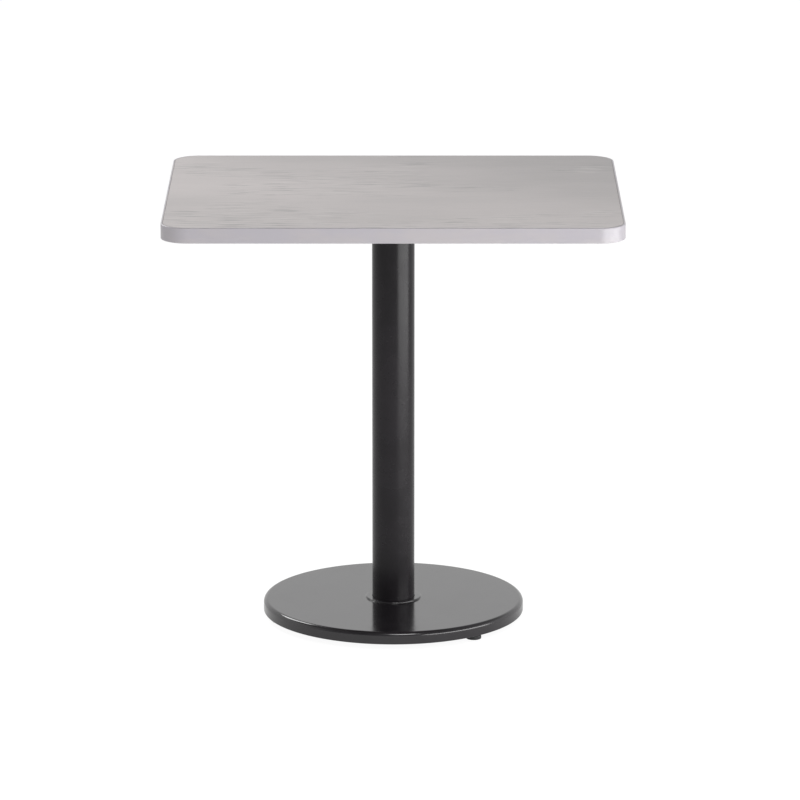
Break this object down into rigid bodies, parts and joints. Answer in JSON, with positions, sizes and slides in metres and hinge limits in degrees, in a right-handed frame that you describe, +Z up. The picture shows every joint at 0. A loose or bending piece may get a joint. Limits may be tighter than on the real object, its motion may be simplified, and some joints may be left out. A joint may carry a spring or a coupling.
{
  "type": "bistro table",
  "caption": "Rectangular laminate table top with round corners, on a black tube column and a round cast base with screw-in levelling glides.",
  "frame": {"origin": "on the floor, on the column's axis, under the middle of the top, with the glides screwed home", "axes": "+X along the top's length, to the right hand of someone at the front; +Y to the back, along the top's depth; +Z up"},
  "size_m": [0.762, 0.61, 0.742],
  "materials": {
    "laminate": "satin",
    "particle_board": "matte",
    "backer": "matte",
    "edge_band": "satin",
    "black_casting": "matte",
    "black_tube": "satin",
    "base_coating": "satin",
    "zinc_steel": "satin",
    "spring_steel": "satin",
    "rod_steel": "satin",
    "brass": "satin",
    "glide_nylon": "satin"
  },
  "bodies": {
    "table": {"laminate_sheet": "laminate", "core_board": "particle_board", "backer_sheet": "backer", "edge_band": "edge_band", "spider": "black_casting", "spider_screws": "zinc_steel", "column_tube": "black_tube", "tie_rod": "rod_steel", "top_washer": "zinc_steel", "top_nut": "zinc_steel", "base_casting": "base_coating", "base_washer": "zinc_steel", "base_spring_washer": "spring_steel", "base_nut": "zinc_steel", "glide_inserts": "brass"},
    "glide_pad_1": {"glide_pad_1": "glide_nylon"},
    "glide_stem_1": {"glide_stem_1": "zinc_steel"},
    "glide_pad_2": {"glide_pad_2": "glide_nylon"},
    "glide_stem_2": {"glide_stem_2": "zinc_steel"},
    "glide_pad_3": {"glide_pad_3": "glide_nylon"},
    "glide_stem_3": {"glide_stem_3": "zinc_steel"}
  },
  "joints": [
    {"name": "glide_lift_1", "type": "slide", "parent": "table", "child": "glide_pad_1", "axis": [0, 0, 1], "range_m": [-0.01, 0]},
    {"name": "glide_turn_1", "type": "hinge", "parent": "glide_pad_1", "child": "glide_stem_1", "pos_m": [0.13572, -0.14554, 0.009], "axis": [0, 0, 1], "range_deg": [-2880, 0]},
    {"name": "glide_lift_2", "type": "slide", "parent": "table", "child": "glide_pad_2", "axis": [0, 0, 1], "range_m": [-0.01, 0]},
    {"name": "glide_turn_2", "type": "hinge", "parent": "glide_pad_2", "child": "glide_stem_2", "pos_m": [0.05818, 0.19031, 0.009], "axis": [0, 0, 1], "range_deg": [-2880, 0]},
    {"name": "glide_lift_3", "type": "slide", "parent": "table", "child": "glide_pad_3", "axis": [0, 0, 1], "range_m": [-0.01, 0]},
    {"name": "glide_turn_3", "type": "hinge", "parent": "glide_pad_3", "child": "glide_stem_3", "pos_m": [-0.1939, -0.04476, 0.009], "axis": [0, 0, 1], "range_deg": [-2880, 0]}
  ],
  "couplings": [
    {"joint": "glide_lift_1", "follows": "glide_turn_1", "m_per_rad": 0.00019894},
    {"joint": "glide_lift_2", "follows": "glide_turn_2", "m_per_rad": 0.00019894},
    {"joint": "glide_lift_3", "follows": "glide_turn_3", "m_per_rad": 0.00019894}
  ]
}
